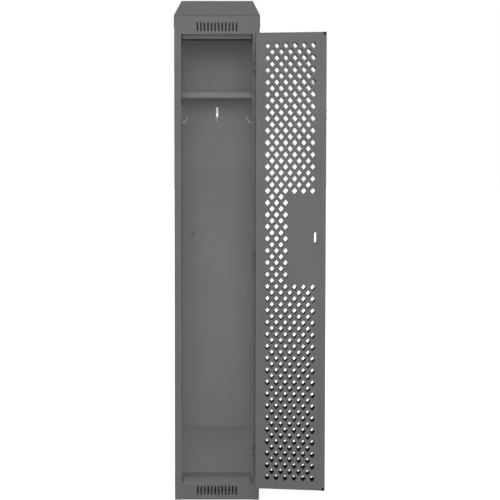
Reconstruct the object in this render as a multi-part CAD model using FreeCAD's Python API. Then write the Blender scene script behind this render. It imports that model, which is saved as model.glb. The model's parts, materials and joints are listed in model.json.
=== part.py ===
import FreeCAD, Part
import math
import os

# Single-tier steel locker with a sloping top and a perforated double-skin door.
# Origin: centre of the body's footprint on the floor. +X right, +Y to the back, +Z up.
# The door and all that rides on it are drawn shut, then swung open about the hinge pins.

Vector = FreeCAD.Vector
OUT = "parts"

# Driving dimensions, mm
BODY_WIDTH = 305.0
BODY_DEPTH = 457.0
FRONT_HEIGHT = 1746.0
TOP_RISE = 169.0
FRAME_SHEET = 1.2
PANEL_SHEET = 0.8
DOOR_SHEET = 0.9
BEND = 0.8
FLOOR_HEIGHT = 59.0
SILL_HEIGHT = 60.0
LINTEL_HEIGHT = 1681.0
OPENING_HALF = 127.2
OPEN_ANGLE = 176.1

# Body
FRONT = -BODY_DEPTH / 2
BACK = BODY_DEPTH / 2
SIDE_OUT = BODY_WIDTH / 2
PANEL_OUT = SIDE_OUT - FRAME_SHEET
PANEL_IN = PANEL_OUT - PANEL_SHEET
BACK_IN = BACK - 2 * PANEL_SHEET
PANEL_TOP = FRONT_HEIGHT - 1.0
PANEL_START = FRONT + 2.0
BACK_FLANGE = 15.0
FIT = 0.3
CUT = 5.0

# Front frame
JAMB_LEG = 26.0
JAMB_RETURN = 26.0
SEAM_HALF = OPENING_HALF + 2.4
FLANGE_HALF = OPENING_HALF - 2.5
LINTEL_DEPTH = 26.0
LINTEL_LIP = 12.5
SILL_DEPTH = 49.0
RAIL_TOP_FLANGE = 20.0
RAIL_FOOT = 47.0
FLOOR_LIP = 18.0
FLOOR_LIP_BACK = 50.5
FOOT_WIDTH = 20.0
CORNER_NOTCH = 8.0
CEILING_FLANGE = 20.0
CEILING_GAP = 1.0
VENT_COUNT = 12
VENT_PITCH = 12.65
VENT_WIDTH = 5.6
VENT_LENGTH = 32.0
TOP_VENT_Z = 1706.8
KICK_VENT_Z = 35.0

# Holes that bolt lockers side by side
GANG_HOLE_R = 3.3
GANG_Z = (855.0, 1050.0)
GANG_FROM_FRONT = 45.0
GANG_FROM_BACK = 27.0

# Sloping top
HOOD_SHEET = 0.9
HOOD_SKIRT = 40.0
HOOD_LIFT = 1.2
HOOD_OUT = SIDE_OUT + HOOD_SHEET
HOOD_BACK = BACK + HOOD_SHEET
HOOD_SCREW_Z = FRONT_HEIGHT - 32.0
HOOD_SCREW_YS = (FRONT + 13.0, BACK - 45.0)
HOOD_SCREW_XS = (-90.0, 90.0)
SCREW_R = 2.0
SCREW_HEAD_R = 4.0
SCREW_HEAD = 2.0
SCREW_FIT = 0.05
HEAD_ROUND = 0.6
RECESS_DEPTH = 0.5
RECESS_LENGTH = 1.1
RECESS_WIDTH = 0.24

# Shelf
SHELF_TOP = 1485.4
SHELF_SET_BACK = 100.0
SHELF_LIP = 20.7
SHELF_HEM = 8.0
SHELF_SIDE = 18.0
SHELF_RIVET_Z = SHELF_TOP - SHELF_SIDE / 2
SHELF_RIVET_YS = (FRONT + SHELF_SET_BACK + 30.0, BACK - 40.0)

# Coat hooks
HOOK_PLATE_WIDTH = 9.6
HOOK_TOP = 1458.0
HOOK_PLATE_BOTTOM = 1416.0
HOOK_PLATE = 2.0
HOOK_PRONG_WIDTH = 6.0
HOOK_PRONG = 2.0
HOOK_LOW = 1387.0
HOOK_TIP = 1414.0
HOOK_REACH = 26.5
HOOK_BEND = 6.4
HOOK_ELBOW = 0.56
HOOK_TIP_R = 1.6
HOOK_TIP_SET_IN = 0.9
HOOK_NECK = 3.0
HOOK_SIDE_Y = BACK - 57.0
HOOK_SCREW_Z = (1448.0, 1426.0)
HOOK_SCREW_R = 1.6
HOOK_HEAD_R = 3.2
HOOK_HEAD = 1.6

# Door, as it stands when shut
DOOR_HINGE_X = 124.8
DOOR_WIDTH = 246.0
DOOR_FREE_X = DOOR_HINGE_X - DOOR_WIDTH
DOOR_BOTTOM = 62.0
DOOR_TOP = 1678.6
DOOR_FACE = FRONT - 4.0
DOOR_THICK = 28.0
DOOR_INSIDE = DOOR_FACE + DOOR_THICK
DOOR_HEM = 19.0
DOOR_NOTCH_SET_IN = 3.6
DOOR_NOTCH_X = 7.5
DOOR_NOTCH_Z = 9.5
HOLE_ROWS = 73
HOLE_TOP_Z = 1634.7
HOLE_ROW_PITCH = 21.27
HOLE_PITCH = 31.75
HOLE_FIRST = 42.3
HOLE_WIDE = 19.2
HOLE_HIGH = 23.0
LOCK_ROWS = range(25, 40)
LOCK_HOLES = (3, 2)
FULL_HOLES = (6, 5)
SLOT_FROM_HINGE = 210.0
SLOT_Z = 960.0
SLOT_WIDTH = 9.6
SLOT_LENGTH = 39.0

# Hinges
PIN_X = 131.5
PIN_Y = FRONT - 5.5
PIN_R = 2.0
BORE_R = 2.05
KNUCKLE_R = 3.6
LEAF = 1.0
HINGE_LENGTH = 60.0
KNUCKLES = 5
KNUCKLE_GAP = 0.4
LEAF_DEPTH = 16.0
LEAF_CLEAR = 0.4
LEAF_FOOT = 14.0
LEAF_BEND = 0.2
PIN_END = 1.0
PIN_HEAD = 1.2
PIN_HEAD_R = 3.0
HINGES = {"upper": 1573.0, "middle": 869.5, "lower": 171.0}
HINGE_SLOT_LEFT = 130.4
HINGE_SLOT_RIGHT = 137.0
HINGE_SLOT_SPARE = {"upper": (5.0, 1.0), "middle": (1.0, 5.0), "lower": (1.0, 5.0)}

# Staple for the padlock
STAPLE_Z = 963.5
STAPLE_HEIGHT = 24.0
STAPLE_SHEET = 3.0
STAPLE_PLATE_Y = FRONT + 28.0
STAPLE_TAB_X = DOOR_HINGE_X - SLOT_FROM_HINGE
STAPLE_TAB_END = FRONT - 17.0
STAPLE_HOLE_R = 4.5
STAPLE_HOLE_Y = FRONT - 9.0
STAPLE_BEND = 2.5
STAPLE_LEG = 24.5
STAPLE_ROUND = 7.0
STAPLE_RIVET_Y = FRONT + 10.0
STAPLE_RIVET_APART = 6.0

# Number plate, edge bumpers and rivets
PLATE_WIDTH = 40.0
PLATE_HEIGHT = 26.0
PLATE_SHEET = 1.0
PLATE_ROUND = 3.0
PLATE_RIVET_SET_IN = 4.0
PLATE_FROM_HINGE = 209.0
PLATE_Z = HOLE_TOP_Z - 6 * HOLE_ROW_PITCH
BUMPER_Z = (1404.0, 1379.0)
BUMPER_R = 4.6
BUMPER_STEM_R = 2.4
BUMPER_OUT = 2.0
BUMPER_ROUND = 0.8
RIVET_R = 1.6
RIVET_HEAD_R = 3.1
RIVET_HEAD = 1.1
BACK_RIVET_Z = (120.0, 460.0, 900.0, 1240.0, 1580.0)


def box(x0, x1, y0, y1, z0, z1):
    """Box between two corners."""
    return Part.makeBox(x1 - x0, y1 - y0, z1 - z0, Vector(x0, y0, z0))


def rod(centre, axis, radius, length):
    """Round bar that starts at centre and runs along axis."""
    return Part.makeCylinder(radius, length, centre, axis)


def in_plan(z):
    """Place a flat point (x, y) at height z."""
    return lambda point: Vector(point[0], point[1], z)


def in_side(x):
    """Place a flat point (y, z) at x."""
    return lambda point: Vector(x, point[0], point[1])


def in_front(y):
    """Place a flat point (x, z) at y."""
    return lambda point: Vector(point[0], y, point[1])


def unit(a, b):
    """Unit vector from a to b."""
    length = math.hypot(b[0] - a[0], b[1] - a[1])
    return ((b[0] - a[0]) / length, (b[1] - a[1]) / length)


def shifted(point, direction, distance):
    """Point moved along a direction."""
    return (point[0] + direction[0] * distance, point[1] + direction[1] * distance)


def bend_points(before, corner, after, sheet, inside, side):
    """Tangent and middle points of one fold, on the drawn face and on the far face."""
    d1 = unit(before, corner)
    d2 = unit(corner, after)
    turn = 1 if d1[0] * d2[1] - d1[1] * d2[0] > 0 else -1
    angle = math.acos(max(-1.0, min(1.0, d1[0] * d2[0] + d1[1] * d2[1])))
    near_r = inside + sheet if turn == side else inside
    far_r = inside if turn == side else inside + sheet
    reach = near_r * math.tan(angle / 2)
    n1 = (-d1[1], d1[0])
    n2 = (-d2[1], d2[0])
    start = shifted(corner, d1, -reach)
    end = shifted(corner, d2, reach)
    centre = shifted(start, n1, turn * near_r)
    out = unit(centre, corner)
    near = (start, shifted(centre, out, near_r), end)
    far = (shifted(start, n1, side * sheet), shifted(centre, out, far_r), shifted(end, n2, side * sheet))
    return near, far


def folded_sheet(points, sheet, side, place, run, inside=BEND):
    """Folded sheet: points trace one face, side is +1 where the metal lies left of the line."""
    near = [points[0]]
    far = [shifted(points[0], left_of(points[0], points[1]), side * sheet)]
    near_edges = []
    far_edges = []
    for before, corner, after in zip(points, points[1:], points[2:]):
        close, distant = bend_points(before, corner, after, sheet, inside, side)
        near_edges += [line(near[-1], close[0], place), arc(close, place)]
        far_edges += [line(far[-1], distant[0], place), arc(distant, place)]
        near.append(close[2])
        far.append(distant[2])
    last = points[-1]
    last_far = shifted(last, left_of(points[-2], last), side * sheet)
    near_edges.append(line(near[-1], last, place))
    far_edges.append(line(far[-1], last_far, place))
    ends = [line(last, last_far, place), line(far[0], near[0], place)]
    edges = Part.__sortEdges__(near_edges + far_edges + ends)
    return Part.Face(Part.Wire(edges)).extrude(run)


def left_of(a, b):
    """Unit vector to the left of the line from a to b."""
    along = unit(a, b)
    return (-along[1], along[0])


def line(a, b, place):
    """Straight edge between two flat points."""
    return Part.LineSegment(place(a), place(b)).toShape()


def arc(three, place):
    """Arc edge through three flat points."""
    return Part.Arc(place(three[0]), place(three[1]), place(three[2])).toShape()


def polygon(points, place):
    """Closed wire through flat points."""
    return Part.makePolygon([place(p) for p in points + points[:1]])


def slot_wire(x, z, width, length, y):
    """Upright slot with round ends."""
    r = width / 2
    half = length / 2 - r
    place = in_front(y)
    edges = [
        line((x - r, z - half), (x - r, z + half), place),
        arc(((x - r, z + half), (x, z + half + r), (x + r, z + half)), place),
        line((x + r, z + half), (x + r, z - half), place),
        arc(((x + r, z - half), (x, z - half - r), (x - r, z - half)), place),
    ]
    return Part.Wire(edges)


def cross_rod(x, y, z, radius, length):
    """Round bar along +X."""
    return rod(Vector(x, y, z), Vector(1, 0, 0), radius, length)


def one_solid(pieces):
    """Join touching solids into one."""
    joined = pieces[0].multiFuse(pieces[1:]).removeSplitter()
    return joined.Solids[0] if len(joined.Solids) == 1 else joined


def mirrored(shape):
    """The same piece for the other side of the body."""
    return shape.mirror(Vector(0, 0, 0), Vector(1, 0, 0))


def swung(shape):
    """Turn a door piece from shut to its open rest pose."""
    turned = shape.copy()
    turned.rotate(Vector(PIN_X, PIN_Y, 0), Vector(0, 0, 1), OPEN_ANGLE)
    return turned


def rivet(point, axis, grip):
    """Round-headed rivet: the head's flat side is at point, the shank runs back along axis."""
    head = Part.makeSphere(RIVET_HEAD_R, point - axis * (RIVET_HEAD_R - RIVET_HEAD), axis, 0, 90, 360)
    trimmed = head.common(rod(point, axis, RIVET_HEAD_R, RIVET_HEAD))
    return one_solid([trimmed, rod(point - axis * grip, axis, RIVET_R, grip)])


def screw(point, axis, radius, head_radius, head, grip):
    """Pan-head screw with a cross recess; its head's flat side is at point."""
    cap = rod(point, axis, head_radius, head)
    cap = cap.makeFillet(head * HEAD_ROUND, [e for e in cap.Edges if is_rim(e, point + axis * head)])
    side = Vector(axis.z, axis.x, axis.y)
    across = axis.cross(side)
    floor = point + axis * head * (1 - RECESS_DEPTH)
    for along, other in ((side, across), (across, side)):
        cap = cap.cut(recess_bar(floor, along * head_radius, other * head_radius, axis * head))
    return one_solid([cap, rod(point - axis * grip, axis, radius, grip)])


def recess_bar(floor, along, other, up):
    """One bar of the cross recess, given the head's radius along and across it."""
    half_along = along * RECESS_LENGTH / 2
    half_other = other * RECESS_WIDTH / 2
    corners = [
        floor - half_along - half_other,
        floor + half_along - half_other,
        floor + half_along + half_other,
        floor - half_along + half_other,
    ]
    return Part.Face(Part.makePolygon(corners + corners[:1])).extrude(up)


def is_rim(edge, point):
    """True for the round edge whose centre is at point."""
    curve = edge.Curve
    return hasattr(curve, "Center") and curve.Center.distanceToPoint(point) < 0.01


def cut_holes(shape, holes):
    """Cut a list of tools from a solid."""
    return shape.cut(Part.makeCompound(holes)).Solids[0]


def gang_holes():
    """Four bolt holes through the left side panel."""
    ys = (FRONT + GANG_FROM_FRONT, BACK - GANG_FROM_BACK)
    return [cross_rod(-PANEL_OUT - CUT, y, z, GANG_HOLE_R, 2 * CUT) for y in ys for z in GANG_Z]


def left_side_panel():
    """Flat side sheet with a flange that the back panel is riveted to."""
    outline = [
        (-PANEL_OUT, PANEL_START),
        (-PANEL_OUT, BACK - PANEL_SHEET),
        (-PANEL_OUT + BACK_FLANGE, BACK - PANEL_SHEET),
    ]
    sheet = folded_sheet(outline, PANEL_SHEET, -1, in_plan(0), Vector(0, 0, PANEL_TOP))
    shelf = [cross_rod(-PANEL_OUT - CUT, y, SHELF_RIVET_Z, RIVET_R, 2 * CUT) for y in SHELF_RIVET_YS]
    return cut_holes(sheet, gang_holes() + shelf + back_rivet_holes() + hook_holes("left"))


def back_panel():
    """Flat back sheet."""
    sheet = box(-PANEL_OUT, PANEL_OUT, BACK - PANEL_SHEET, BACK, 0, PANEL_TOP)
    return cut_holes(sheet, hook_holes("back") + back_rivet_holes())


def back_rivet_places():
    """Where rivets hold the back panel to the side flanges."""
    x = PANEL_OUT - BACK_FLANGE / 2
    return [(side * x, z) for side in (-1, 1) for z in BACK_RIVET_Z]


def back_rivet_holes():
    """Shank holes for the back panel's rivets."""
    return [rod(Vector(x, BACK - CUT, z), Vector(0, 1, 0), RIVET_R, 2 * CUT) for x, z in back_rivet_places()]


def jamb():
    """Left upright of the front frame: side leg, face and the return that lines the door opening."""
    outline = [
        (-SIDE_OUT, FRONT + JAMB_LEG),
        (-SIDE_OUT, FRONT),
        (-OPENING_HALF, FRONT),
        (-OPENING_HALF, FRONT + JAMB_RETURN),
    ]
    sheet = folded_sheet(outline, FRAME_SHEET, 1, in_plan(0), Vector(0, 0, FRONT_HEIGHT))
    past = FRONT + JAMB_RETURN + CUT
    edge = -OPENING_HALF + CUT
    low = box(-SEAM_HALF, edge, FRONT - CUT, past, -CUT, SILL_HEIGHT)
    high = box(-SEAM_HALF, edge, FRONT - CUT, past, LINTEL_HEIGHT, FRONT_HEIGHT + CUT)
    return sheet.cut(low).cut(high).Solids[0]


def left_jamb():
    """Left upright, with holes for the staple's rivets."""
    holes = [cross_rod(-SEAM_HALF - CUT, y, z, RIVET_R, 2 * CUT) for y, z in staple_rivet_places()]
    return cut_holes(jamb(), holes)


def right_jamb():
    """Right upright, with a slot through its face behind each hinge."""
    slots = []
    for name, z in HINGES.items():
        below, above = HINGE_SLOT_SPARE[name]
        low = z - HINGE_LENGTH / 2 - below
        high = z + HINGE_LENGTH / 2 + above
        slots.append(box(HINGE_SLOT_LEFT, HINGE_SLOT_RIGHT, FRONT - CUT, FRONT + CUT, low, high))
    return cut_holes(mirrored(jamb()), slots)


def vents(z):
    """Row of upright ventilation slots."""
    first = -(VENT_COUNT - 1) * VENT_PITCH / 2
    xs = [first + i * VENT_PITCH for i in range(VENT_COUNT)]
    wires = [slot_wire(x, z, VENT_WIDTH, VENT_LENGTH, FRONT - CUT) for x in xs]
    return [Part.Face(wire).extrude(Vector(0, 2 * CUT, 0)) for wire in wires]


def rail(outline, side, z0, z1):
    """Cross rail of the front frame, its flange between z0 and z1 set in a little from the jambs."""
    sheet = folded_sheet(outline, FRAME_SHEET, side, in_side(-SEAM_HALF), Vector(2 * SEAM_HALF, 0, 0))
    near = FRONT + FRAME_SHEET + BEND
    far = FRONT + SILL_DEPTH + CUT
    left = box(-SEAM_HALF - CUT, -FLANGE_HALF, near, far, z0, z1)
    return sheet.cut(left).cut(mirrored(left))


def header_rail():
    """Top rail: stop lip, flange, vented face and the flange under the sloping top."""
    outline = [
        (FRONT + LINTEL_DEPTH, LINTEL_HEIGHT - LINTEL_LIP),
        (FRONT + LINTEL_DEPTH, LINTEL_HEIGHT),
        (FRONT, LINTEL_HEIGHT),
        (FRONT, FRONT_HEIGHT),
        (FRONT + RAIL_TOP_FLANGE, FRONT_HEIGHT),
    ]
    folded = rail(outline, -1, LINTEL_HEIGHT - LINTEL_LIP - CUT, LINTEL_HEIGHT + CUT)
    return cut_holes(folded, vents(TOP_VENT_Z))


def kick_rail():
    """Bottom rail: sill flange, vented face and the foot flange on the floor."""
    outline = [
        (FRONT + SILL_DEPTH, SILL_HEIGHT),
        (FRONT, SILL_HEIGHT),
        (FRONT, 0),
        (FRONT + RAIL_FOOT, 0),
    ]
    return cut_holes(rail(outline, 1, SILL_HEIGHT - CUT, SILL_HEIGHT + CUT), vents(KICK_VENT_Z))


def floor_pan():
    """Raised floor with a front lip, skirts in front and at the sides, and a foot flange all round."""
    inner = PANEL_IN - FIT
    start = FRONT + FLOOR_LIP_BACK
    end = BACK_IN - FIT
    outline = [
        (-inner + FOOT_WIDTH, 0),
        (-inner, 0),
        (-inner, FLOOR_HEIGHT),
        (inner, FLOOR_HEIGHT),
        (inner, 0),
        (inner - FOOT_WIDTH, 0),
    ]
    tray = folded_sheet(outline, PANEL_SHEET, -1, in_front(start), Vector(0, end - start, 0))
    top = FLOOR_HEIGHT + FLOOR_LIP
    middle = PANEL_SHEET / 2
    lip = box(-FLANGE_HALF, FLANGE_HALF, start, start + PANEL_SHEET, FLOOR_HEIGHT - PANEL_SHEET, top)
    skirt = box(-inner + middle, inner - middle, start, start + PANEL_SHEET, 0, FLOOR_HEIGHT - middle)
    reach = inner - FOOT_WIDTH + CUT
    feet = [box(-reach, reach, y, y + FOOT_WIDTH, 0, PANEL_SHEET) for y in (start, end - FOOT_WIDTH)]
    left = box(-inner - CUT, -inner + CORNER_NOTCH, end - CORNER_NOTCH, end + CUT, FLOOR_HEIGHT - CUT, top)
    return one_solid([tray, lip, skirt] + feet).cut(left).cut(mirrored(left)).Solids[0]


def top_panel():
    """Flat ceiling under the sloping top, its side flanges turned down."""
    inner = PANEL_IN - FIT
    start = FRONT + RAIL_TOP_FLANGE + CEILING_GAP
    outline = [
        (-inner, PANEL_TOP - CEILING_FLANGE),
        (-inner, PANEL_TOP),
        (inner, PANEL_TOP),
        (inner, PANEL_TOP - CEILING_FLANGE),
    ]
    return folded_sheet(outline, PANEL_SHEET, -1, in_front(start), Vector(0, BACK_IN - FIT - start, 0))


def sloping_top():
    """Hood: a sloping sheet with a back skirt and two side skirts that slip over the body."""
    low = FRONT_HEIGHT + HOOD_LIFT
    high = FRONT_HEIGHT + TOP_RISE
    hem = FRONT_HEIGHT - HOOD_SKIRT
    outline = [(FRONT, low), (HOOD_BACK, high), (HOOD_BACK, hem)]
    cover = folded_sheet(outline, HOOD_SHEET, -1, in_side(-HOOD_OUT), Vector(2 * HOOD_OUT, 0, 0))
    skirt = hood_skirt(low, high, hem)
    joined = one_solid([cover, skirt, mirrored(skirt)])
    return cut_holes(joined, [rod(p - a * CUT, a, SCREW_R, 2 * CUT) for p, a in hood_screw_places()])


def hood_skirt(low, high, hem):
    """Left side skirt; its rim runs along the middle of the sheets it joins."""
    middle = HOOD_SHEET / 2
    corners = [
        (FRONT + middle, hem),
        (FRONT + middle, low),
        (HOOD_BACK - 2 * HOOD_SHEET, high - 2 * HOOD_SHEET),
        (HOOD_BACK - middle, high - 3 * HOOD_SHEET),
        (HOOD_BACK - middle, hem),
    ]
    face = Part.Face(polygon(corners, in_side(-HOOD_OUT)))
    return face.extrude(Vector(HOOD_SHEET, 0, 0))


def hood_screw_places():
    """Head seats and outward axes of the screws in the hood's skirts."""
    places = []
    for side in (-1, 1):
        for y in HOOD_SCREW_YS:
            places.append((Vector(side * HOOD_OUT, y, HOOD_SCREW_Z), Vector(side, 0, 0)))
    for x in HOOD_SCREW_XS:
        places.append((Vector(x, HOOD_BACK, HOOD_SCREW_Z), Vector(0, 1, 0)))
    return places


def hood_screws():
    """Screws that hold the hood on the body."""
    radius = SCREW_R - SCREW_FIT
    return [screw(p, a, radius, SCREW_HEAD_R, SCREW_HEAD, HOOD_SHEET) for p, a in hood_screw_places()]


def hat_shelf():
    """Shelf with a hemmed front lip and side flanges."""
    inner = PANEL_IN - FIT
    start = FRONT + SHELF_SET_BACK
    end = BACK_IN - FIT
    low = SHELF_TOP - SHELF_LIP
    outline = [(end, SHELF_TOP), (start, SHELF_TOP), (start, low), (start + SHELF_HEM, low)]
    tray = folded_sheet(outline, PANEL_SHEET, 1, in_side(-inner), Vector(2 * inner, 0, 0))
    near = start + SHELF_HEM + CUT
    top = SHELF_TOP - PANEL_SHEET / 2
    flange = box(-inner, -inner + PANEL_SHEET, near, end, SHELF_TOP - SHELF_SIDE, top)
    shelf = one_solid([tray, flange, mirrored(flange)])
    xs = (-inner - CUT, inner - CUT)
    holes = [cross_rod(x, y, SHELF_RIVET_Z, RIVET_R, 2 * CUT) for x in xs for y in SHELF_RIVET_YS]
    return cut_holes(shelf, holes)


def shelf_rivets():
    """Rivets through the side panels into the shelf's flanges."""
    grip = PANEL_SHEET * 2 + FIT
    places = [(side, y) for side in (-1, 1) for y in SHELF_RIVET_YS]
    return [rivet(Vector(s * PANEL_OUT, y, SHELF_RIVET_Z), Vector(s, 0, 0), grip) for s, y in places]


def back_rivets():
    """Rivets through the back panel into the side panels' flanges."""
    return [rivet(Vector(x, BACK, z), Vector(0, 1, 0), 2 * PANEL_SHEET) for x, z in back_rivet_places()]


def hook_at_wall():
    """Coat hook on a wall in the plane x = 0, reaching towards +X."""
    plate = Part.Face(hook_plate_rim()).extrude(Vector(HOOK_PLATE, 0, 0))
    outline = [
        (0, HOOK_PLATE_BOTTOM),
        (0, HOOK_LOW),
        (HOOK_REACH * HOOK_ELBOW, HOOK_LOW),
        (HOOK_REACH, HOOK_TIP - HOOK_TIP_R),
    ]
    half = HOOK_PRONG_WIDTH / 2
    width = Vector(0, HOOK_PRONG_WIDTH, 0)
    prong = folded_sheet(outline, HOOK_PRONG, 1, in_front(-half), width, HOOK_BEND)
    end = Vector(HOOK_REACH - HOOK_TIP_SET_IN, -half, HOOK_TIP - HOOK_TIP_R)
    tip = rod(end, Vector(0, 1, 0), HOOK_TIP_R, HOOK_PRONG_WIDTH)
    screws = [cross_rod(-CUT, 0, z, HOOK_SCREW_R, 2 * CUT) for z in HOOK_SCREW_Z]
    return cut_holes(one_solid([plate, prong, tip]), screws)


def hook_plate_rim():
    """Rim of the hook's plate: round above, tapered below to the prong's width."""
    place = in_side(0)
    half = HOOK_PLATE_WIDTH / 2
    foot = HOOK_PRONG_WIDTH / 2
    shoulder = HOOK_TOP - half
    taper = HOOK_PLATE_BOTTOM + HOOK_NECK
    low = HOOK_PLATE_BOTTOM - HOOK_NECK
    return Part.Wire([
        line((-half, taper), (-half, shoulder), place),
        arc(((-half, shoulder), (0, HOOK_TOP), (half, shoulder)), place),
        line((half, shoulder), (half, taper), place),
        line((half, taper), (foot, low), place),
        line((foot, low), (-foot, low), place),
        line((-foot, low), (-half, taper), place),
    ])


def hook_frame(name):
    """Turn and place of a hook: (turn about Z in degrees, foot on the wall)."""
    frames = {
        "left": (0, Vector(-PANEL_IN, HOOK_SIDE_Y, 0)),
        "right": (180, Vector(PANEL_IN, HOOK_SIDE_Y, 0)),
        "back": (-90, Vector(0, BACK - PANEL_SHEET, 0)),
    }
    return frames[name]


def hung(shape, name):
    """Move a piece drawn for the wall x = 0 to its own wall."""
    turn, foot = hook_frame(name)
    placed = shape.copy()
    placed.rotate(Vector(0, 0, 0), Vector(0, 0, 1), turn)
    placed.translate(foot)
    return placed


def hook_holes(name):
    """Screw holes in the wall behind a hook."""
    return [hung(cross_rod(-CUT, 0, z, HOOK_SCREW_R, 2 * CUT), name) for z in HOOK_SCREW_Z]


def hook_screws():
    """Two screws for each coat hook, through the hook and the wall."""
    radius = HOOK_SCREW_R - SCREW_FIT
    grip = HOOK_PLATE + PANEL_SHEET
    made = []
    for z in HOOK_SCREW_Z:
        piece = screw(Vector(HOOK_PLATE, 0, z), Vector(1, 0, 0), radius, HOOK_HEAD_R, HOOK_HEAD, grip)
        made += [hung(piece, name) for name in ("left", "right", "back")]
    return made


def staple_rivet_places():
    """Where rivets hold the staple's leg to the jamb's return."""
    return [(STAPLE_RIVET_Y, STAPLE_Z + side * STAPLE_RIVET_APART) for side in (-1, 1)]


def padlock_staple():
    """Bent strip: leg behind the jamb's return, plate, and the tab that comes through the door's slot."""
    leg = -OPENING_HALF - FRAME_SHEET
    outline = [
        (leg, STAPLE_PLATE_Y - STAPLE_LEG),
        (leg, STAPLE_PLATE_Y),
        (STAPLE_TAB_X - STAPLE_SHEET / 2, STAPLE_PLATE_Y),
        (STAPLE_TAB_X - STAPLE_SHEET / 2, STAPLE_TAB_END),
    ]
    low = STAPLE_Z - STAPLE_HEIGHT / 2
    strip = staple_strip(outline, low)
    tools = [cross_rod(leg - CUT, y, z, RIVET_R, 2 * CUT) for y, z in staple_rivet_places()]
    tools.append(cross_rod(STAPLE_TAB_X - CUT, STAPLE_HOLE_Y, STAPLE_Z, STAPLE_HOLE_R, 2 * CUT))
    return cut_holes(strip, tools)


def staple_strip(outline, low):
    """The staple's folded strip, with the tab's two outer corners rounded."""
    strip = folded_sheet(outline, STAPLE_SHEET, 1, in_plan(low), Vector(0, 0, STAPLE_HEIGHT), STAPLE_BEND)
    corners = [e for e in strip.Edges if tab_corner(e)]
    return strip.makeFillet(STAPLE_ROUND, corners)


def tab_corner(edge):
    """True for the two short edges across the end of the tab, above and below."""
    ends = [v.Point for v in edge.Vertexes]
    at_end = all(abs(p.y - STAPLE_TAB_END) < 0.01 for p in ends)
    return at_end and len(ends) == 2 and abs(ends[0].z - ends[1].z) < 0.01


def staple_rivets():
    """Rivets that hold the staple."""
    seat = -OPENING_HALF
    grip = FRAME_SHEET + STAPLE_SHEET
    return [rivet(Vector(seat, y, z), Vector(1, 0, 0), grip) for y, z in staple_rivet_places()]


def diamond(x, z, y):
    """Diamond-shaped hole outline."""
    a = HOLE_WIDE / 2
    b = HOLE_HIGH / 2
    return polygon([(x - a, z), (x, z + b), (x + a, z), (x, z - b)], in_front(y))


def door_holes(y):
    """All hole outlines of one door skin: diamonds in staggered rows, and the padlock slot."""
    wires = []
    for row in range(HOLE_ROWS):
        odd = row % 2
        count = LOCK_HOLES[odd] if row in LOCK_ROWS else FULL_HOLES[odd]
        z = HOLE_TOP_Z - row * HOLE_ROW_PITCH
        for i in range(count):
            x = DOOR_HINGE_X - HOLE_FIRST - (i + odd / 2) * HOLE_PITCH
            wires.append(diamond(x, z, y))
    wires.append(slot_wire(DOOR_HINGE_X - SLOT_FROM_HINGE, SLOT_Z, SLOT_WIDTH, SLOT_LENGTH, y))
    return wires


def perforated_plate(x0, x1, y):
    """Flat sheet with the door's hole pattern."""
    rim = polygon([(x0, DOOR_BOTTOM), (x1, DOOR_BOTTOM), (x1, DOOR_TOP), (x0, DOOR_TOP)], in_front(y))
    face = Part.Face([rim] + door_holes(y))
    face.validate()
    return face.extrude(Vector(0, DOOR_SHEET, 0))


def door_outer_pan():
    """Outer skin with its four edges turned back and long hems over the inner panel."""
    height = Vector(0, 0, DOOR_TOP - DOOR_BOTTOM)
    middle = (DOOR_HINGE_X + DOOR_FREE_X) / 2
    plate_half = DOOR_WIDTH / 2 - BEND - DOOR_SHEET
    plate = perforated_plate(middle - plate_half, middle + plate_half, DOOR_FACE)
    place = in_plan(DOOR_BOTTOM)
    edges = []
    for side, x in ((-1, DOOR_FREE_X), (1, DOOR_HINGE_X)):
        outline = [
            (middle + side * plate_half, DOOR_FACE),
            (x, DOOR_FACE),
            (x, DOOR_INSIDE),
            (x - side * DOOR_HEM, DOOR_INSIDE),
        ]
        edges.append(edge_strip(outline, side, place, height))
    lids = []
    near = DOOR_SHEET / 2
    inside = DOOR_INSIDE - 2 * DOOR_SHEET
    for z in (DOOR_BOTTOM, DOOR_TOP - DOOR_SHEET):
        top = z + DOOR_SHEET
        lids.append(box(DOOR_FREE_X + near, DOOR_HINGE_X - near, DOOR_FACE + near, inside, z, top))
    pan = one_solid([plate] + edges + lids)
    return cut_holes(pan, corner_notches() + plate_rivet_holes() + bumper_holes())


def edge_strip(outline, side, place, height):
    """Edge flange and hem of the outer pan; its first run only overlaps the plate's edge."""
    back = shifted(outline[0], (-side, 0), DOOR_SHEET / 2)
    return folded_sheet([back] + outline[1:], DOOR_SHEET, side, place, height)


def corner_notches():
    """Relief cut-outs at the free edge's two corners, through the hem and the inner panel."""
    x0 = DOOR_FREE_X + DOOR_NOTCH_SET_IN
    y0 = DOOR_INSIDE - 2 * DOOR_SHEET - FIT
    notches = []
    for z in (DOOR_BOTTOM + DOOR_SHEET, DOOR_TOP - DOOR_SHEET - DOOR_NOTCH_Z):
        notches.append(box(x0, x0 + DOOR_NOTCH_X, y0, DOOR_INSIDE + CUT, z, z + DOOR_NOTCH_Z))
    return notches


def door_inner_panel():
    """Inner skin, held under the outer pan's hems."""
    gap = DOOR_SHEET + BEND + FIT
    y = DOOR_INSIDE - 2 * DOOR_SHEET
    plate = perforated_plate(DOOR_FREE_X + gap, DOOR_HINGE_X - gap, y)
    return cut_holes(plate, corner_notches())


def plate_rivet_xs():
    """Rivet positions across the number plate."""
    x = DOOR_HINGE_X - PLATE_FROM_HINGE
    reach = PLATE_WIDTH / 2 - PLATE_RIVET_SET_IN
    return (x - reach, x + reach)


def plate_rivet_holes():
    """Holes for the number plate's rivets, through the plate and the door's outer skin."""
    axis = Vector(0, 1, 0)
    return [rod(Vector(x, DOOR_FACE - CUT, PLATE_Z), axis, RIVET_R, 2 * CUT) for x in plate_rivet_xs()]


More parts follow.
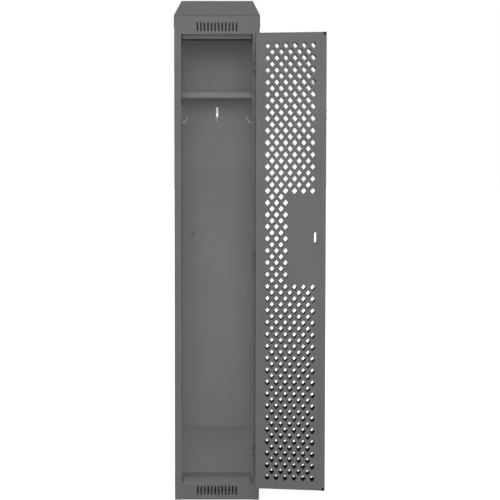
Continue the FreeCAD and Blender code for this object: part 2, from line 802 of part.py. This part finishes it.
def number_plate():
    """Blank number plate on the outside of the door, over one hole."""
    x = DOOR_HINGE_X - PLATE_FROM_HINGE
    half = PLATE_WIDTH / 2
    low = PLATE_Z - PLATE_HEIGHT / 2
    blank = box(x - half, x + half, DOOR_FACE - PLATE_SHEET, DOOR_FACE, low, low + PLATE_HEIGHT)
    corners = [e for e in blank.Edges if abs(e.Vertexes[0].Y - e.Vertexes[1].Y) > PLATE_SHEET / 2]
    return cut_holes(blank.makeFillet(PLATE_ROUND, corners), plate_rivet_holes())


def plate_rivets():
    """Rivets that hold the number plate."""
    y = DOOR_FACE - PLATE_SHEET
    grip = PLATE_SHEET + DOOR_SHEET
    return [rivet(Vector(x, y, PLATE_Z), Vector(0, -1, 0), grip) for x in plate_rivet_xs()]


def bumper_holes():
    """Holes for the bumpers' stems in the free edge."""
    y = DOOR_FACE + DOOR_THICK / 2
    return [cross_rod(DOOR_FREE_X - CUT, y, z, BUMPER_STEM_R, 2 * CUT) for z in BUMPER_Z]


def edge_bumpers():
    """Rubber buttons in the door's free edge."""
    y = DOOR_FACE + DOOR_THICK / 2
    made = []
    for z in BUMPER_Z:
        seat = Vector(DOOR_FREE_X, y, z)
        button = rod(seat, Vector(-1, 0, 0), BUMPER_R, BUMPER_OUT)
        front = seat - Vector(BUMPER_OUT, 0, 0)
        button = button.makeFillet(BUMPER_OUT * BUMPER_ROUND, [e for e in button.Edges if is_rim(e, front)])
        stem = rod(seat, Vector(1, 0, 0), BUMPER_STEM_R, DOOR_SHEET)
        made.append(one_solid([button, stem]))
    return made


def knuckle_spans(z, which):
    """Heights of the knuckles that belong to the frame (0) or to the door (1)."""
    step = HINGE_LENGTH / KNUCKLES
    low = z - HINGE_LENGTH / 2
    spans = []
    for i in range(KNUCKLES):
        if i % 2 == which:
            spans.append((low + i * step + KNUCKLE_GAP / 2, low + (i + 1) * step - KNUCKLE_GAP / 2))
    return spans


def knuckled(plate, arms, z, which, bore_r):
    """A leaf: its plate and arms joined to its knuckles, with the pin's bore through them."""
    pieces = [plate]
    for z0, z1 in knuckle_spans(z, which):
        x0, x1, y0, y1 = arms
        pieces.append(box(x0, x1, y0, y1, z0, z1))
        pieces.append(rod(Vector(PIN_X, PIN_Y, z0), Vector(0, 0, 1), KNUCKLE_R, z1 - z0))
    bore = rod(Vector(PIN_X, PIN_Y, z - HINGE_LENGTH), Vector(0, 0, 1), bore_r, 2 * HINGE_LENGTH)
    return one_solid(pieces).cut(bore).Solids[0]


def hinge_door_leaf(z):
    """Door leaf: a plate along the door's hinge edge, with arms in front of the jamb to its knuckles."""
    arm_y = PIN_Y + KNUCKLE_R - LEAF
    low = z - HINGE_LENGTH / 2
    plate = box(DOOR_HINGE_X, DOOR_HINGE_X + LEAF, arm_y, FRONT + LEAF_DEPTH, low, low + HINGE_LENGTH)
    return knuckled(plate, (DOOR_HINGE_X, PIN_X, arm_y, arm_y + LEAF), z, 1, BORE_R)


def hinge_frame_leaf(z):
    """Frame leaf: it passes through the jamb's slot and is turned flat behind the jamb's face."""
    near_x = PIN_X + KNUCKLE_R - LEAF
    low = z - HINGE_LENGTH / 2
    seat = FRONT + FRAME_SHEET
    outline = [
        (near_x, PIN_Y + KNUCKLE_R + LEAF_CLEAR),
        (near_x, seat + LEAF),
        (near_x + LEAF_FOOT, seat + LEAF),
    ]
    plate = folded_sheet(outline, LEAF, -1, in_plan(low), Vector(0, 0, HINGE_LENGTH), LEAF_BEND)
    arm = (near_x, near_x + LEAF, PIN_Y, PIN_Y + KNUCKLE_R + LEAF_CLEAR)
    return knuckled(plate, arm, z, 0, PIN_R)


def hinge_pin(z):
    """Pin with a small head at each end."""
    up = Vector(0, 0, 1)
    half = HINGE_LENGTH / 2 + PIN_END
    shank = rod(Vector(PIN_X, PIN_Y, z - half), up, PIN_R, 2 * half)
    lows = (z - half, z + half - PIN_HEAD)
    return one_solid([shank] + [rod(Vector(PIN_X, PIN_Y, low), up, PIN_HEAD_R, PIN_HEAD) for low in lows])


def fixed_pieces():
    """Every piece of the body, by node name."""
    pieces = {
        "left_side_panel": left_side_panel(),
        "back_panel": back_panel(),
        "floor_pan": floor_pan(),
        "top_panel": top_panel(),
        "sloping_top": sloping_top(),
        "header_rail": header_rail(),
        "kick_rail": kick_rail(),
        "left_jamb": left_jamb(),
        "right_jamb": right_jamb(),
        "hat_shelf": hat_shelf(),
        "shelf_rivets": shelf_rivets(),
        "back_rivets": back_rivets(),
        "hood_screws": hood_screws(),
        "hook_screws": hook_screws(),
        "padlock_staple": padlock_staple(),
        "staple_rivets": staple_rivets(),
    }
    pieces["right_side_panel"] = mirrored(pieces["left_side_panel"])
    hook = hook_at_wall()
    for name in ("left", "right", "back"):
        pieces[name + "_coat_hook"] = hung(hook, name)
    for name, z in HINGES.items():
        pieces[name + "_hinge_frame_leaf"] = hinge_frame_leaf(z)
        pieces[name + "_hinge_pin"] = hinge_pin(z)
    return pieces


def door_pieces():
    """Every piece of the door, drawn shut, by node name."""
    pieces = {
        "door_outer_pan": door_outer_pan(),
        "door_inner_panel": door_inner_panel(),
        "number_plate": number_plate(),
        "plate_rivets": plate_rivets(),
        "edge_bumpers": edge_bumpers(),
    }
    for name, z in HINGES.items():
        pieces[name + "_hinge_door_leaf"] = hinge_door_leaf(z)
    return pieces


def as_shape(piece):
    """A single solid, or a group of separate solids."""
    return Part.makeCompound(piece) if isinstance(piece, list) else piece


def main():
    """Write one STEP file for each node."""
    os.makedirs(OUT, exist_ok=True)
    nodes = {name: as_shape(piece) for name, piece in fixed_pieces().items()}
    for name, piece in door_pieces().items():
        nodes[name] = swung(as_shape(piece))
    for name, shape in sorted(nodes.items()):
        shape.exportStep(os.path.join(OUT, name + ".step"))
        bounds = shape.BoundBox
        print(name, shape.isValid(), len(shape.Solids), round(shape.Volume), [round(v, 1) for v in (
            bounds.XMin, bounds.XMax, bounds.YMin, bounds.YMax, bounds.ZMin, bounds.ZMax)])


main()
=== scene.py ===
import json
import math

import bmesh
import bpy
from mathutils import Matrix, Vector


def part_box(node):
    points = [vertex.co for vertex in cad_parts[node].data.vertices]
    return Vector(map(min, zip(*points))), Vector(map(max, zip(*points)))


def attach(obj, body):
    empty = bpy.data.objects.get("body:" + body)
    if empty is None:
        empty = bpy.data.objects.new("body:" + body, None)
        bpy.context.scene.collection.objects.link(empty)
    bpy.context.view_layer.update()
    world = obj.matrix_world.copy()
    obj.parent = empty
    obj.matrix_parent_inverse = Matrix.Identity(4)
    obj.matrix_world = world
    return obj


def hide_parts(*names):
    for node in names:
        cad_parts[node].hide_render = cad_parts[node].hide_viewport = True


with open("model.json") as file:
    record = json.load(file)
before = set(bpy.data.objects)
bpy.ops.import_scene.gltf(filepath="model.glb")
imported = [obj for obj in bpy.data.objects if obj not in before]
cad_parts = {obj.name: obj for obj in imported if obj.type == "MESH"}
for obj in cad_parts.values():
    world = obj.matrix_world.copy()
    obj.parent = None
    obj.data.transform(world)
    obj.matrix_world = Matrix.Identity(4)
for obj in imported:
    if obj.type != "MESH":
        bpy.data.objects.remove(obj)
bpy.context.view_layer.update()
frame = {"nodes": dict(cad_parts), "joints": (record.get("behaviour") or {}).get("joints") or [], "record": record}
nodes = frame["nodes"]
bodies = frame["record"]["behaviour"]["bodies"]
bodyOfNode = {node: body for body, members in bodies.items() for node in members}
slotOfNode = {part["node"]: part["material_slot"] for part in frame["record"]["subparts"]}
white = (1.0, 1.0, 1.0, 1.0)
print("frame loaded:", len(nodes), "nodes")


# small helpers for node materials

def newMaterial(name):
    material = bpy.data.materials.new(name)
    material.use_nodes = True
    tree = material.node_tree
    return material, tree, tree.nodes["Principled BSDF"]


def addNode(tree, kind, settings=None, inputs=None):
    node = tree.nodes.new(kind)
    for key, value in (settings or {}).items():
        setattr(node, key, value)
    for key, value in (inputs or {}).items():
        node.inputs[key].default_value = value
    return node


def objectCoords(tree, stretch=(1.0, 1.0, 1.0)):
    # every piece sits at the origin, so object coordinates are metres in the locker's own frame
    coords = addNode(tree, "ShaderNodeTexCoord")
    mapping = addNode(tree, "ShaderNodeMapping", inputs={"Scale": stretch})
    tree.links.new(coords.outputs["Object"], mapping.inputs["Vector"])
    return mapping.outputs["Vector"]


def noise(tree, coords, scale, detail=2.0):
    made = addNode(tree, "ShaderNodeTexNoise", inputs={"Scale": scale, "Detail": detail})
    tree.links.new(coords, made.inputs["Vector"])
    return made.outputs["Fac"]


def ranged(tree, value, fromLow, fromHigh, toLow, toHigh):
    made = addNode(tree, "ShaderNodeMapRange", inputs={
        "From Min": fromLow, "From Max": fromHigh, "To Min": toLow, "To Max": toHigh})
    tree.links.new(value, made.inputs["Value"])
    return made.outputs["Result"]


def stretched(tree, value, limits):
    # noise stays near its middle, so the limits given are stretched to the full 0 to 1
    return ranged(tree, value, *limits, 0.0, 1.0)


def mixColours(tree, factor, first, second):
    made = addNode(tree, "ShaderNodeMix", settings={"data_type": "RGBA"})
    for value, socket in ((first, made.inputs["A"]), (second, made.inputs["B"])):
        if isinstance(value, tuple):
            socket.default_value = value + (1.0,)
        else:
            tree.links.new(value, socket)
    tree.links.new(factor, made.inputs["Factor"])
    return made.outputs["Result"]


def bumped(tree, shader, height, strength, distance):
    made = addNode(tree, "ShaderNodeBump", inputs={"Strength": strength, "Distance": distance})
    tree.links.new(height, made.inputs["Height"])
    tree.links.new(made.outputs["Normal"], shader.inputs["Normal"])


def edgeMask(tree, look):
    # how far the rounded normal leans from the true one: 1 on sharp folds and cut edges, 0 on flats
    low, high = look["edgeLean"]
    soft = addNode(tree, "ShaderNodeBevel", settings={"samples": look["edgeSamples"]},
                   inputs={"Radius": look["edgeRadius"]})
    true = addNode(tree, "ShaderNodeNewGeometry")
    dot = addNode(tree, "ShaderNodeVectorMath", settings={"operation": "DOT_PRODUCT"})
    tree.links.new(soft.outputs["Normal"], dot.inputs[0])
    tree.links.new(true.outputs["Normal"], dot.inputs[1])
    return ranged(tree, dot.outputs["Value"], high, low, 0.0, 1.0)


def multiplied(tree, first, second):
    made = addNode(tree, "ShaderNodeMath", settings={"operation": "MULTIPLY"})
    tree.links.new(first, made.inputs[0])
    tree.links.new(second, made.inputs[1])
    return made.outputs["Value"]


# grey powder coat: body, door, hinges and staple, and a near-black copy of it that paints the shade inside the
# hollows

powderCoatLook = {
    "colour": (0.160, 0.160, 0.160),
    "cloudColour": (0.150, 0.150, 0.151),
    "edgeColour": (0.30, 0.30, 0.30),
    "cloudScale": 5.0,            # broad, faint variation in film thickness
    "cloudDetail": 4.0,
    "peelScale": 420.0,           # orange peel, about 2 mm across
    "grainScale": 2600.0,         # fine texture of the cured powder
    "noiseLimits": (0.3, 0.7),
    "speckleAmount": 0.16,
    "speckleLift": 1.3,           # speckles are this much lighter than the coat
    "roughness": (0.46, 0.56),
    "specular": 0.4,
    "peelBump": 0.10,
    "bumpDepth": 0.0004,
    "grainShare": 0.35,           # of the bump, beside the orange peel
    "edgeRadius": 0.0007,
    "edgeSamples": 6,
    "edgeLean": (0.80, 0.99),
    "edgeAmount": 0.35,
    "edgeLeast": 0.3,             # share of the edge amount where the wear is thinnest
    "wearScale": 60.0,
    "wearDetail": 3.0,
    "wearLimits": (0.35, 0.65),
}


# painted shade: a near-black coat for the insides of the door and plinth, standing in for the shade in those
# hollows
paintedShadeCoatLook = {
    **powderCoatLook,
    "colour": (0.045, 0.045, 0.045),
    "cloudColour": (0.036, 0.036, 0.036),
    "edgeColour": (0.06, 0.06, 0.06),
    "roughness": (0.66, 0.80),
}


def powderCoat(name, look):
    material, tree, shader = newMaterial(name)
    coords = objectCoords(tree)
    film = noise(tree, coords, look["cloudScale"], look["cloudDetail"])
    cloud = stretched(tree, film, look["noiseLimits"])
    body = mixColours(tree, cloud, look["colour"], look["cloudColour"])
    grain = noise(tree, coords, look["grainScale"])
    speckle = ranged(tree, grain, *look["noiseLimits"], 0.0, look["speckleAmount"])
    speckled = mixColours(tree, speckle, body, tuple(look["speckleLift"] * c for c in look["colour"]))
    wear = noise(tree, coords, look["wearScale"], look["wearDetail"])
    least, most = look["edgeLeast"] * look["edgeAmount"], look["edgeAmount"]
    worn = multiplied(tree, edgeMask(tree, look), ranged(tree, wear, *look["wearLimits"], least, most))
    tree.links.new(mixColours(tree, worn, speckled, look["edgeColour"]), shader.inputs["Base Color"])
    tree.links.new(ranged(tree, cloud, 0.0, 1.0, *look["roughness"]), shader.inputs["Roughness"])
    both = addNode(tree, "ShaderNodeMath", settings={"operation": "MULTIPLY_ADD"})
    both.inputs[1].default_value = look["grainShare"]
    tree.links.new(grain, both.inputs[0])
    tree.links.new(noise(tree, coords, look["peelScale"]), both.inputs[2])
    bumped(tree, shader, both.outputs["Value"], look["peelBump"], look["bumpDepth"])
    shader.inputs["Specular IOR Level"].default_value = look["specular"]
    return material


# bright zinc: hooks and their screws

zincLook = {
    "colour": (0.80, 0.805, 0.81),
    "duskColour": (0.66, 0.67, 0.68),
    "patchScale": 130.0,
    "patchDetail": 3.0,
    "patchLimits": (0.35, 0.65),
    "drawScale": 900.0,
    "drawStretch": (1.0, 1.0, 0.08),
    "drawLimits": (0.3, 0.7),
    "roughness": (0.42, 0.54),
    "bump": 0.08,
    "bumpDepth": 0.0001,
}

screwLook = {
    **zincLook,
    "colour": (0.80, 0.81, 0.83),
    "duskColour": (0.62, 0.64, 0.67),
    "roughness": (0.22, 0.34),      # turned heads are smoother than the hooks
}


def brightZinc(name, look):
    material, tree, shader = newMaterial(name)
    patch = noise(tree, objectCoords(tree), look["patchScale"], look["patchDetail"])
    drawn = noise(tree, objectCoords(tree, look["drawStretch"]), look["drawScale"])
    tone = stretched(tree, patch, look["patchLimits"])
    tree.links.new(mixColours(tree, tone, look["colour"], look["duskColour"]), shader.inputs["Base Color"])
    tree.links.new(ranged(tree, drawn, *look["drawLimits"], *look["roughness"]), shader.inputs["Roughness"])
    bumped(tree, shader, drawn, look["bump"], look["bumpDepth"])
    shader.inputs["Metallic"].default_value = 1.0
    return material


# plain steel: hinge pins

pinSteelLook = {
    "colour": (0.46, 0.46, 0.46),
    "dullColour": (0.30, 0.295, 0.29),
    "drawScale": 700.0,
    "drawDetail": 3.0,
    "drawStretch": (1.0, 1.0, 0.03),
    "drawLimits": (0.3, 0.7),
    "stainScale": 220.0,
    "stainDetail": 3.0,
    "stainLimits": (0.4, 0.7),
    "roughness": (0.30, 0.50),
    "bump": 0.1,
    "bumpDepth": 0.0001,
}


def drawnSteel(name, look):
    material, tree, shader = newMaterial(name)
    lines = noise(tree, objectCoords(tree, look["drawStretch"]), look["drawScale"], look["drawDetail"])
    blotch = noise(tree, objectCoords(tree), look["stainScale"], look["stainDetail"])
    stain = stretched(tree, blotch, look["stainLimits"])
    tree.links.new(mixColours(tree, stain, look["colour"], look["dullColour"]), shader.inputs["Base Color"])
    tree.links.new(ranged(tree, lines, *look["drawLimits"], *look["roughness"]), shader.inputs["Roughness"])
    bumped(tree, shader, lines, look["bump"], look["bumpDepth"])
    shader.inputs["Metallic"].default_value = 1.0
    return material


# satin aluminium: the blank number plate

plateLook = {
    "colour": (0.55, 0.55, 0.56),
    "brushColour": (0.44, 0.44, 0.45),
    "brushScale": 1500.0,
    "brushDetail": 3.0,
    "brushStretch": (0.02, 0.02, 1.0),
    "toneLimits": (0.35, 0.65),
    "brushLimits": (0.3, 0.7),
    "roughness": (0.34, 0.52),
    "bump": 0.12,
    "bumpDepth": 0.0001,
}


def brushedPlate(name, look):
    material, tree, shader = newMaterial(name)
    brush = noise(tree, objectCoords(tree, look["brushStretch"]), look["brushScale"], look["brushDetail"])
    tone = stretched(tree, brush, look["toneLimits"])
    tree.links.new(mixColours(tree, tone, look["colour"], look["brushColour"]), shader.inputs["Base Color"])
    tree.links.new(ranged(tree, brush, *look["brushLimits"], *look["roughness"]), shader.inputs["Roughness"])
    bumped(tree, shader, brush, look["bump"], look["bumpDepth"])
    shader.inputs["Metallic"].default_value = 1.0
    return material


# black rubber: bumpers in the door's free edge

rubberLook = {
    "colour": (0.035, 0.035, 0.036),
    "dustColour": (0.075, 0.073, 0.070),
    "dustScale": 300.0,
    "dustDetail": 4.0,
    "dustLimits": (0.45, 0.75),
    "grainScale": 1800.0,
    "grainLimits": (0.3, 0.7),
    "roughness": (0.62, 0.85),
    "bump": 0.2,
    "bumpDepth": 0.0001,
}


def mattRubber(name, look):
    material, tree, shader = newMaterial(name)
    coords = objectCoords(tree)
    film = noise(tree, coords, look["dustScale"], look["dustDetail"])
    dust = stretched(tree, film, look["dustLimits"])
    grain = noise(tree, coords, look["grainScale"])
    tree.links.new(mixColours(tree, dust, look["colour"], look["dustColour"]), shader.inputs["Base Color"])
    tree.links.new(ranged(tree, grain, *look["grainLimits"], *look["roughness"]), shader.inputs["Roughness"])
    bumped(tree, shader, grain, look["bump"], look["bumpDepth"])
    return material


# one finish for each material slot, and one for a single node that is smoother than its slot
finishes = {
    "powder_coat": powderCoat("greyPowderCoat", powderCoatLook),
    "zinc_plate": brightZinc("brightZinc", zincLook),
    "plain_steel": drawnSteel("drawnSteel", pinSteelLook),
    "number_plate": brushedPlate("brushedAluminium", plateLook),
    "rubber": mattRubber("blackRubber", rubberLook),
    "hook_screws": brightZinc("turnedZinc", screwLook),
}
paintedShadeCoat = powderCoat("paintedHollowShade", paintedShadeCoatLook)
print("finishes made:", len(finishes) + 1)


# every CAD piece gets a finished copy: eased edges, smooth bends, its own material

easedEdges = {
    "sheet": {"width": 0.00018, "segments": 2},       # deburred edges of cut and folded sheet
    "hardware": {"width": 0.00030, "segments": 3},    # hooks, staple and hinge leaves are tumbled smooth
    "small": {"width": 0.00010, "segments": 2},       # screws, rivets, pins
}
hardwareWords = ("hook", "staple", "leaf", "plate", "bumper")
smallWords = ("screw", "rivet", "pin")
foldAngle = math.radians(24)
flatAngle = math.radians(0.3)
weldDistance = 0.000002

hollowLook = {
    "doorSkins": ("door_outer_pan", "door_inner_panel"),
    "doorSheet": 0.0009,
    "frameSheet": 0.0012,
    "margin": 0.0003,
}
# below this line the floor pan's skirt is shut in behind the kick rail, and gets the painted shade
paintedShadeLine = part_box("kick_rail")[1].z - hollowLook["frameSheet"] - hollowLook["margin"]


def easingFor(node):
    if any(word in node for word in smallWords):
        return easedEdges["small"]
    if any(word in node for word in hardwareWords):
        return easedEdges["hardware"]
    return easedEdges["sheet"]


def cleanedMesh(node):
    # welds the CAD triangles and melts the flat ones together, so that edges can be eased
    mesh = nodes[node].data.copy()
    work = bmesh.new()
    work.from_mesh(mesh)
    bmesh.ops.remove_doubles(work, verts=work.verts, dist=weldDistance)
    bmesh.ops.dissolve_limit(work, angle_limit=flatAngle, verts=work.verts, edges=work.edges)
    # the floor pan is cut where its painted shade ends
    if node == "floor_pan":
        everything = work.verts[:] + work.edges[:] + work.faces[:]
        bmesh.ops.bisect_plane(work, geom=everything, plane_co=(0, 0, paintedShadeLine), plane_no=(0, 0, 1))
    for edge in work.edges:
        sharp = len(edge.link_faces) == 2 and edge.calc_face_angle(0) > foldAngle
        edge.smooth = not sharp
    for face in work.faces:
        face.smooth = True
    work.to_mesh(mesh)
    work.free()
    mesh.materials.clear()
    mesh.materials.append(finishes.get(node, finishes[slotOfNode[node]]))
    return mesh


def finishedCopy(node):
    easing = easingFor(node)
    piece = bpy.data.objects.new(node + ".finished", cleanedMesh(node))
    bpy.context.scene.collection.objects.link(piece)
    bevel = piece.modifiers.new("easedEdges", "BEVEL")
    bevel.width = easing["width"]
    bevel.segments = easing["segments"]
    bevel.limit_method = "ANGLE"
    bevel.angle_limit = foldAngle
    bevel.use_clamp_overlap = True
    bevel.harden_normals = True
    bpy.context.view_layer.update()
    evaluated = piece.evaluated_get(bpy.context.evaluated_depsgraph_get())
    finished = bpy.data.meshes.new_from_object(evaluated)
    piece.modifiers.clear()
    piece.data = finished
    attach(piece, bodyOfNode[node])
    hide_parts(node)
    return piece


finishedPieces = {node: finishedCopy(node) for node in sorted(nodes)}
print("pieces finished:", len(finishedPieces))


# painted shade: the closed hollows get a near-black coat that stands in for the shade inside them

def shutPlace(hinge, point):
    # a point of the open door, turned back to where it is when the door is shut
    turn = Matrix.Rotation(math.radians(hinge["range_deg"][0]), 3, Vector(hinge["axis"]))
    return turn @ (point - Vector(hinge["pos_m"]))


# gives the faces that isInside picks the near-black coat of painted shade
def paintHollowShade(node, isInside):
    mesh = finishedPieces[node].data
    mesh.materials.append(paintedShadeCoat)
    for face in mesh.polygons:
        if isInside(face):
            face.material_index = 1


def paintDoorHollowShade(look):
    hinge = frame["joints"][0]
    corners = [shutPlace(hinge, vertex.co) for vertex in nodes["door_outer_pan"].data.vertices]
    edge = look["doorSheet"] - look["margin"]
    lows = [min(corner[i] for corner in corners) + edge for i in range(3)]
    highs = [max(corner[i] for corner in corners) - edge for i in range(3)]
    highs[1] -= look["doorSheet"]              # the inner skin lies one sheet further in, under the hems

    def isInside(face):
        at = shutPlace(hinge, face.center)
        return all(lows[i] < at[i] < highs[i] for i in range(3))

    for skin in look["doorSkins"]:
        paintHollowShade(skin, isInside)


def paintPlinthHollowShade(look):
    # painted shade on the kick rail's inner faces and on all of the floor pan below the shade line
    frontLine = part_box("kick_rail")[0].y + look["frameSheet"] - look["margin"]

    def isBehindRail(face):
        return face.center.y > frontLine and face.center.z < paintedShadeLine

    paintHollowShade("kick_rail", isBehindRail)
    paintHollowShade("floor_pan", isBehindRail)


paintDoorHollowShade(hollowLook)
paintPlinthHollowShade(hollowLook)
print("hollows coated")


# studio: pale floor, soft light, camera

floorLook = {
    "size": 40.0,
    "colour": (0.88, 0.88, 0.88),
    "shadeColour": (0.85, 0.85, 0.855),
    "mottleScale": 1.5,
    "mottleDetail": 3.0,
    "roughness": 0.9,
    "inset": 0.003,           # the shaded patch stays this far inside the locker's outline
    "drop": 0.0002,           # a hair below the locker's feet
    "paperGlow": 0.76,        # brings the floor up to the white of studio paper, without lighting the locker
}


def floorPaper(name, look, glow):
    material, tree, shader = newMaterial(name)
    mottle = noise(tree, objectCoords(tree), look["mottleScale"], look["mottleDetail"])
    paperColour = mixColours(tree, mottle, look["colour"], look["shadeColour"])
    tree.links.new(paperColour, shader.inputs["Base Color"])
    shader.inputs["Roughness"].default_value = look["roughness"]
    if glow:
        paper = addNode(tree, "ShaderNodeEmission", inputs={"Color": white, "Strength": glow})
        lit = addNode(tree, "ShaderNodeAddShader")
        tree.links.new(shader.outputs["BSDF"], lit.inputs[0])
        tree.links.new(paper.outputs["Emission"], lit.inputs[1])
        surface = tree.nodes["Material Output"].inputs["Surface"]
        seenOnly(tree, shader.outputs["BSDF"], lit.outputs["Shader"], surface)
    return material


def paleFloor(look):
    # one sheet of paper, and under the locker a patch of it that no light reaches
    half = look["size"] / 2
    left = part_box("left_jamb")[0].x + look["inset"]
    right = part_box("right_jamb")[1].x - look["inset"]
    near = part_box("kick_rail")[0].y + look["inset"]
    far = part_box("back_panel")[1].y - look["inset"]
    outer = [(-half, -half, 0), (half, -half, 0), (half, half, 0), (-half, half, 0)]
    inner = [(left, near, 0), (right, near, 0), (right, far, 0), (left, far, 0)]
    ring = [(i, (i + 1) % 4, (i + 1) % 4 + 4, i + 4) for i in range(4)]
    mesh = bpy.data.meshes.new("studioFloor")
    mesh.from_pydata(outer + inner, [], ring + [(4, 5, 6, 7)])
    mesh.polygons[len(ring)].material_index = 1
    floor = bpy.data.objects.new("studioFloor", mesh)
    floor.location.z = -look["drop"]
    bpy.context.scene.collection.objects.link(floor)
    mesh.materials.append(floorPaper("paleFloor", look, look["paperGlow"]))
    mesh.materials.append(floorPaper("shadedFloor", look, 0.0))


def seenOnly(tree, hidden, seen, surface):
    # the eye gets the second shader, every bounce of light gets the first
    path = addNode(tree, "ShaderNodeLightPath")
    mix = addNode(tree, "ShaderNodeMixShader")
    tree.links.new(path.outputs["Is Camera Ray"], mix.inputs["Fac"])
    tree.links.new(hidden, mix.inputs[1])
    tree.links.new(seen, mix.inputs[2])
    tree.links.new(mix.outputs["Shader"], surface)


paleFloor(floorLook)

lightLook = {
    "ambient": 0.30,
    "backdrop": 1.0,
    "suns": {
        # height and bearing in degrees, the bearing turning left from the front
        "keyLight": {"power": 1.15, "height": 60, "bearing": 0, "softness": 35},
        "frontLight": {"power": 0.81, "height": 0, "bearing": 0, "softness": 20},
        "backLight": {"power": 0.80, "height": 20, "bearing": 180, "softness": 20, "glint": False},
        # bounce cards: no glint, only on the pieces named, and shaded only by their blockers
        "wallCard": {"power": 0.85, "height": 0, "bearing": 0, "softness": 28,
                     "only": ("back_panel", "left_side_panel", "right_side_panel")},
        "shadedWallCard": {"power": 0.75, "height": 0, "bearing": 0, "softness": 28,
                           "only": ("back_panel", "left_side_panel", "right_side_panel"),
                           "blockers": ("header_rail", "top_panel", "hat_shelf")},
        "leftCard": {"power": 0.85, "height": 0, "bearing": -90, "softness": 20,
                     "only": ("left_side_panel", "left_jamb")},
        "rightCard": {"power": 0.85, "height": 0, "bearing": 90, "softness": 20,
                      "only": ("right_side_panel", "right_jamb")},
        "shelfCard": {"power": 1.40, "height": -45, "bearing": 0, "softness": 20, "only": ("hat_shelf",)},
        "floorCard": {"power": 1.44, "height": 90, "bearing": 0, "softness": 20, "only": ("floor_pan",)},
        "headerCard": {"power": 0.65, "height": -90, "bearing": 0, "softness": 20, "only": ("header_rail",)},
        "sillCard": {"power": 1.0, "height": 90, "bearing": 0, "softness": 20, "only": ("kick_rail",)},
    },
}


def piecesNamed(name, pieces):
    group = bpy.data.collections.new(name)
    for piece in pieces:
        group.objects.link(finishedPieces[piece])
    return group


def studioSun(name, look):
    data = bpy.data.lights.new(name, "SUN")
    data.energy = look["power"]
    data.angle = math.radians(look["softness"])
    lamp = bpy.data.objects.new(name, data)
    lamp.rotation_euler = (math.radians(90 - look["height"]), 0, math.radians(-look["bearing"]))
    bpy.context.scene.collection.objects.link(lamp)
    lamp.visible_glossy = look.get("glint", "only" not in look)
    if "only" in look:
        lamp.light_linking.receiver_collection = piecesNamed(name + "Lit", look["only"])
        data.use_shadow = "blockers" in look
    if "blockers" in look:
        lamp.light_linking.blocker_collection = piecesNamed(name + "Blockers", look["blockers"])


def studioLight(look):
    world = bpy.data.worlds.new("studio")
    world.use_nodes = True
    bpy.context.scene.world = world
    tree = world.node_tree
    lit = tree.nodes["Background"]
    lit.inputs["Color"].default_value = white
    lit.inputs["Strength"].default_value = look["ambient"]
    seen = addNode(tree, "ShaderNodeBackground", inputs={"Color": white, "Strength": look["backdrop"]})
    surface = tree.nodes["World Output"].inputs["Surface"]
    seenOnly(tree, lit.outputs["Background"], seen.outputs["Background"], surface)
    for name, sun in look["suns"].items():
        studioSun(name, sun)


studioLight(lightLook)

cameraLook = {
    "place": (0.0047, -2.3767, 1.2498),
    "tilt": 1.478,              # degrees below level
    "lens": 43.25,
    "sensor": 36.0,
    "nearest": 0.05,
    "shift": (0.0635, -0.1584),
}


def studioCamera(look):
    data = bpy.data.cameras.new("studioCamera")
    data.lens = look["lens"]
    data.sensor_width = look["sensor"]
    data.shift_x, data.shift_y = look["shift"]
    data.clip_start = look["nearest"]
    camera = bpy.data.objects.new("studioCamera", data)
    camera.location = look["place"]
    camera.rotation_euler = (math.radians(90 - look["tilt"]), 0, 0)
    bpy.context.scene.collection.objects.link(camera)
    bpy.context.scene.camera = camera


studioCamera(cameraLook)
bpy.context.scene.view_settings.view_transform = "Standard"
print("studio ready")
